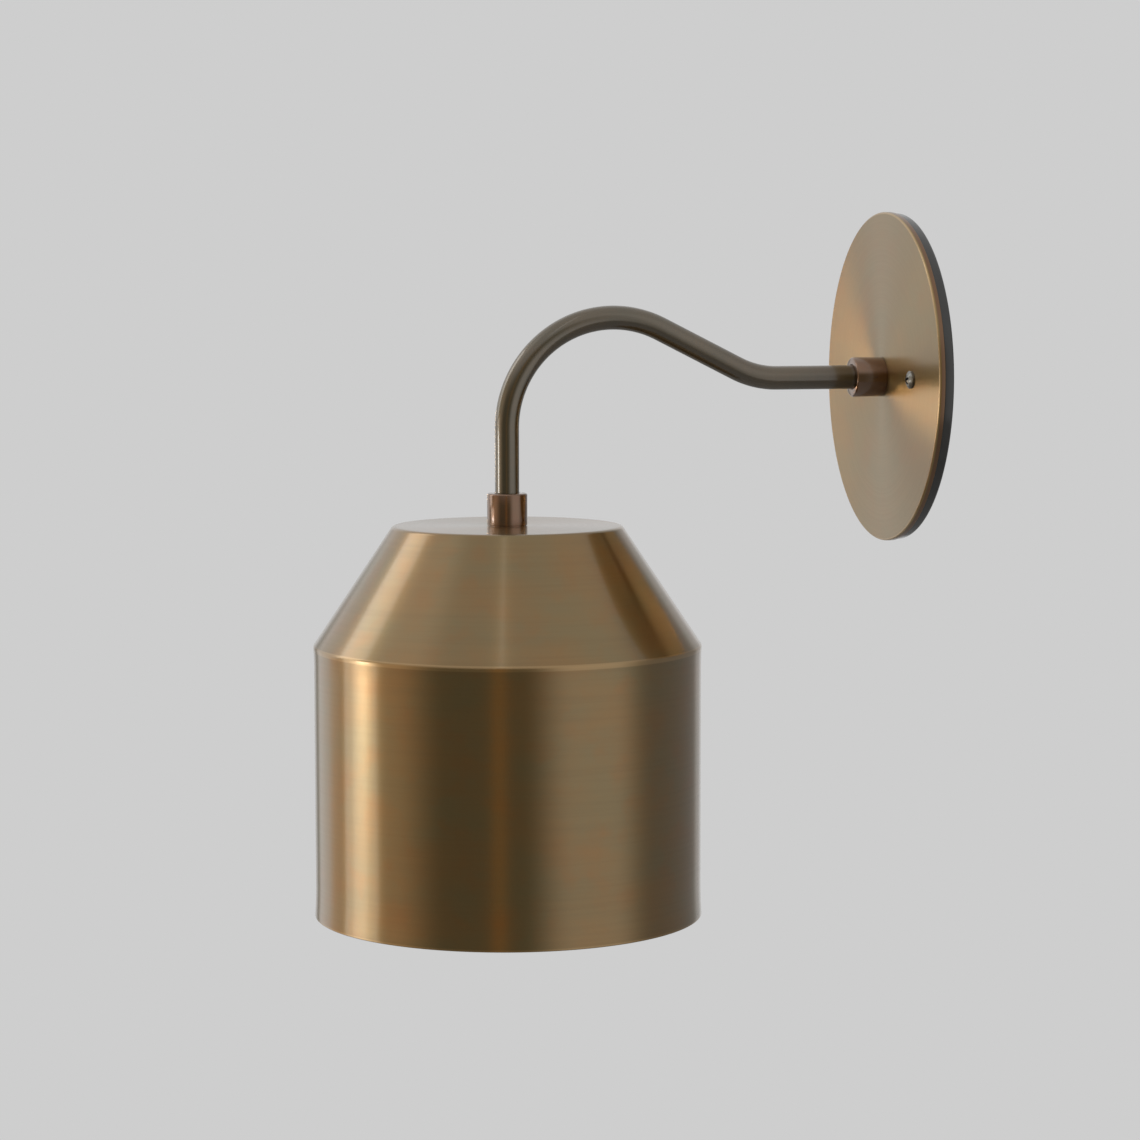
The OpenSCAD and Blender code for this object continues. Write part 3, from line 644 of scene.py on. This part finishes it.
def rollThread(piece, size):
    # right-handed: the groove climbs as it goes round, and it fades out at both ends
    cx, cy, cz = [mm * v for v in size["axis"]]
    for vertex in piece.data.vertices:
        x, y, depth = vertex.co.x - cx, vertex.co.y - cy, (cz - vertex.co.z) / mm
        share = min(1, (depth - size["coneEnd"]) / size["fade"], (size["threadEnd"] - depth) / size["fade"])
        turns = depth / size["pitch"] + math.atan2(y, x) / fullTurn
        groove = size["threadDepth"] * max(0, share) * (1 - math.cos(fullTurn * turns)) / 2
        keep = 1 - groove * mm / math.hypot(x, y)
        vertex.co.x, vertex.co.y = cx + x * keep, cy + y * keep


cap = makeLampCap(lampCap)
rollThread(cap, lampCap)
smoothPiece(cap)
dress(cap, capMetal, "bulb_cap", "lamp")
print("lamp's cap made")


# The remaining CAD nodes keep their shape and get their real material

nodeMaterials = (
    # zinc-plated sheet steel, pressed: bluish grey with faint spangles 4 mm across
    (("crossbar", "wall_lock_washer", "shade_lock_washer", "socket_cap"),
     marked("zincPlatedSteel", "#b4b7b9", "#a5a9ac", 0.38, 0.06, 4.0, metal)),
    # brass turned from bar and left bright: fine tool marks, drawn coarser than they are so that they show
    (("wall_nipple", "wall_nut", "shade_nipple", "shade_nut", "shade_washer", "terminal_screws"),
     marked("brightBrass", "#cdb27a", "#b4975c", 0.3, 0.06, 0.8, metal)),
    # rolled contact brass, a little darker and duller
    (("socket_shell", "socket_contact"), marked("contactBrass", "#c4a566", "#a98a4e", 0.34, 0.06, 2.0, metal)),
    (("socket_cap_screws",), screwMetal),
    # steel screw dipped in green lacquer
    (("ground_screw",), marked("greenLacquer", "#3f8450", "#2e6a3e", 0.3, 0, 1.5)),
    # soft copper wire and terminal, drawn and slightly dulled
    (("ground_lead",), marked("drawnCopper", "#c98358", "#a8653d", 0.32, 0.06, 1.5, metal)),
    # extruded PVC insulation
    (("line_lead",), marked("blackPvc", "#262626", "#1c1c1c", 0.42, 0, 3.0)),
    (("neutral_lead",), marked("whitePvc", "#e9e7e1", "#dcd9d0", 0.42, 0, 3.0)),
    # glazed porcelain: white body under a clear glaze, glossy, with very shallow waves
    (("socket_body",), marked("glazedPorcelain", "#f1eee6", "#e8e4d9", 0.14, 0, 8.0,
                              {"IOR": 1.55, "Coat Weight": 0.6, "Coat Roughness": 0.05}, 0.03)),
    # acid-frosted soda glass, milky and soft
    (("bulb_glass",), marked("frostedGlass", "#f6f3ec", "#f1ede5", 0.5, 0, 8.0,
                             {"IOR": 1.5, "Transmission Weight": 0.12})),
    # black glass insulator
    (("bulb_insulator",), marked("blackGlass", "#1d1917", "#272120", 0.12, 0, 4.0, depth=0.02)),
    # solder, cast as a small dome
    (("bulb_contact",), marked("tinSolder", "#bfc0bd", "#a3a4a2", 0.3, 0.06, 0.8, metal, 0.02)),
    # clear flint glass stem
    (("bulb_stem",), marked("clearStemGlass", "#eef2f2", "#e3eaea", 0.05, 0, 6.0,
                            {"IOR": 1.55, "Transmission Weight": 0.9})),
    # phosphor-coated filament strips on nickel posts
    (("bulb_filaments",), marked("phosphorFilament", "#ecc95f", "#dcae45", 0.55, 0, 1.0, depth=0.05)),
)
for nodes, material in nodeMaterials:
    for node in nodes:
        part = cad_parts[node]
        part.data.materials.clear()
        part.data.materials.append(material)
print("frame nodes dressed")


# Studio: a pale floor far below, soft panels all round as the shiny pieces mirror them, and soft lights

studio = {
    "target": (0.0, -161.0, -150.0), "backdrop": "#cecece", "room": "#69675a",
    "floor": {"drop": 1500.0, "width": 6000.0, "sides": 96, "paint": "#989898"},
    # a panel: angle to the right of the camera, half its width and its soft edge, then its lowest and highest
    # height angle and soft edge, all in degrees; then its colour and its radiance. A later one covers an
    # earlier one.
    "panels": (
        ((0, 181, 1), (24, 95, 12), "#ffffff", 0.56),        # ceiling
        ((180, 21, 6), (-30, 95, 6), "#cecece", 1.0),        # backdrop
        ((-134, 17.5, 4), (-30, 55, 10), "#ffffff", 0.74),   # left wall
        ((-152, 13, 6), (8, 55, 6), "#ffffff", 0.68),        # beyond the left wall, high up
        ((-118, 10, 5), (-18, -7, 4), "#ffdcb8", 0.7),       # low warm card
        ((-82, 20, 12), (38, 64, 9), "#ffffff", 0.8),        # ceiling over the key light
        ((118, 32, 8), (-30, 29, 10), "#ffffff", 0.22),      # right wall
        ((155, 6, 5), (-30, 40, 8), "#ffffff", 0.45),        # far edge of the right wall
        ((-70, 16, 18), (-25, 25, 10), "#ffe9cd", 0.62),     # bounce beside the key light
        ((53, 28, 15), (-30, 40, 8), "#ffffff", 0.65),       # fill light
        ((-4, 4, 3), (-30, 24, 6), "#a08055", 1.0),          # streak between the bounce and the fill light
        ((-4, 2, 2), (40, 75, 4), "#ffffff", 1.4),           # strip in the ceiling
    ),
    # a box: where its lower and upper ends stand (angle, height angle), distance and width, and radiance
    "boxes": {
        "keyBox": ((-90, -24), (-93, 15), 650, 305, 1.15),
        "keyUpper": ((-104, 15), (-116, 52), 650, 210, 1.4),
        "keyCore": ((-91, -22), (-91, 0), 600, 120, 0.8),
        "keyBulb": ((-87, -2), (-87, 10), 590, 100, 5.5),
    },
    # a small warm card behind the shade that faces the wall and draws a streak over the brushed plate
    "plateCard": {"place": (-171, -181, -30), "width": 60, "height": 40, "colour": "#ffddb6", "radiance": 8.0},
    # a lamp: angle to the right of the camera, height angle, distance, width and height, and radiance
    "lamps": {
        "keyLamp": (-97, 5, 1800, 900, 1600, 2.0),
        "topLamp": (0, 65, 1900, 1600, 1600, 1.0),
        "lowLamp": (-30, -65, 1300, 1500, 1500, 1.8),
    },
}


def standLight(name, place, turn, width, height, radiance, colour="#ffffff", mirrored=True):
    # place, width and height in metres
    bpy.ops.object.light_add(type="AREA", location=place, rotation=turn)
    light = bpy.context.object
    light.name = name
    light.data.shape = "RECTANGLE"
    light.data.size, light.data.size_y = width, height
    light.data.color = linearColour(colour)[:3]
    light.data.energy = radiance * width * height * math.pi
    light.visible_camera = False
    light.visible_glossy = mirrored


def fromTarget(angle, height, distance):
    # the way from the target, and the place at a distance along it
    away = compass(cameraView["azimuth"] + angle, height)
    return away, Vector([mm * v for v in studio["target"]]) + away * distance * mm


def standBox(name, lower, upper, distance, width, radiance):
    # a softbox close by, so the shiny pieces mirror it at a different height and brightness from top to bottom
    (_, low), (_, high) = fromTarget(*lower, distance), fromTarget(*upper, distance)
    middle = (low + high) / 2
    away = (middle - Vector([mm * v for v in studio["target"]])).normalized()
    tall = (high - low).normalized()
    across = tall.cross(away).normalized()
    turn = Matrix((across, away.cross(across), away)).transposed().to_euler()
    standLight(name, middle, turn, width * mm, (high - low).length, radiance)


def standLamp(name, angle, height, distance, width, tall, radiance):
    # the panels already give its reflection, so the lamp itself isn't mirrored
    away, place = fromTarget(angle, height, distance)
    turn = away.to_track_quat("Z", "Y").to_euler()
    standLight(name, place, turn, width * mm, tall * mm, radiance, mirrored=False)


card = studio["plateCard"]
standLight("plateCard", [mm * v for v in card["place"]], (math.pi / 2, 0, 0),
           card["width"] * mm, card["height"] * mm, card["radiance"], card["colour"])
for name, spec in studio["boxes"].items():
    standBox(name, *spec)
for name, spec in studio["lamps"].items():
    standLamp(name, *spec)


def hangPanels():
    world = bpy.data.worlds.new("studioWorld")
    scene.world = world
    tree = emptyTree(world)
    rays = addNode(tree, "ShaderNodeLightPath")
    way = addNode(tree, "ShaderNodeTexCoord").outputs["Generated"]
    upward = addNode(tree, "ShaderNodeSeparateXYZ", {0: way}).outputs[2]
    risen = addNode(tree, "ShaderNodeMath", {"operation": "ARCSINE", 0: upward})
    level = addNode(tree, "ShaderNodeVectorMath", {"operation": "MULTIPLY", 0: way, 1: (1, 1, 0)})
    flat = addNode(tree, "ShaderNodeVectorMath", {"operation": "NORMALIZE", 0: level.outputs[0]})
    mirrored = studio["room"]
    for (angle, halfWidth, sideSoft), (lowest, highest, endSoft), code, radiance in studio["panels"]:
        middle = compass(cameraView["azimuth"] + angle, 0)
        facing = addNode(tree, "ShaderNodeVectorMath",
                         {"operation": "DOT_PRODUCT", 0: flat.outputs[0], 1: middle})
        aside = addNode(tree, "ShaderNodeMath", {"operation": "ARCCOSINE", 0: facing.outputs["Value"]})
        across = softWindow(tree, aside.outputs[0], -1, math.radians(halfWidth), math.radians(sideSoft))
        tall = softWindow(tree, risen.outputs[0], *[math.radians(a) for a in (lowest, highest, endSoft)])
        share = addNode(tree, "ShaderNodeMath", {"operation": "MULTIPLY", 0: across, 1: tall})
        colour = [radiance * part for part in linearColour(code)[:3]] + [1.0]
        mirrored = addNode(tree, "ShaderNodeMix",
                           {"data_type": "RGBA", 0: share.outputs[0], 6: mirrored, 7: colour}).outputs[2]
    direct = addNode(tree, "ShaderNodeMath", {"operation": "MAXIMUM", 0: rays.outputs["Is Camera Ray"],
                                              1: rays.outputs["Is Transmission Ray"]})
    shown = addNode(tree, "ShaderNodeMix",
                    {"data_type": "RGBA", 0: direct.outputs[0], 6: mirrored, 7: studio["backdrop"]}).outputs[2]
    sky = addNode(tree, "ShaderNodeBackground", {"Color": shown, "Strength": 1.0})
    addNode(tree, "ShaderNodeOutputWorld", {"Surface": sky.outputs[0]})


def layFloor(size):
    # matt pale paint that the camera sees in the backdrop's colour
    bpy.ops.object.select_all(action="DESELECT")
    bpy.ops.mesh.primitive_circle_add(vertices=size["sides"], radius=size["width"] / 2 * mm, fill_type="NGON",
                                      location=(0, 0, -size["drop"] * mm))
    floor = bpy.context.object
    floor.name = "studioFloor"
    material, tree = startMaterial("paleFloor")
    rays = addNode(tree, "ShaderNodeLightPath")
    paint = addNode(tree, "ShaderNodeBsdfDiffuse", {"Color": size["paint"]})
    glow = addNode(tree, "ShaderNodeEmission", {"Color": studio["backdrop"], "Strength": 1.0})
    mixed = addNode(tree, "ShaderNodeMixShader", {0: rays.outputs["Is Camera Ray"], 1: paint.outputs[0],
                                                  2: glow.outputs[0]})
    addNode(tree, "ShaderNodeOutputMaterial", {"Surface": mixed.outputs[0]})
    floor.data.materials.append(material)


hangPanels()
layFloor(studio["floor"])
print("studio set")
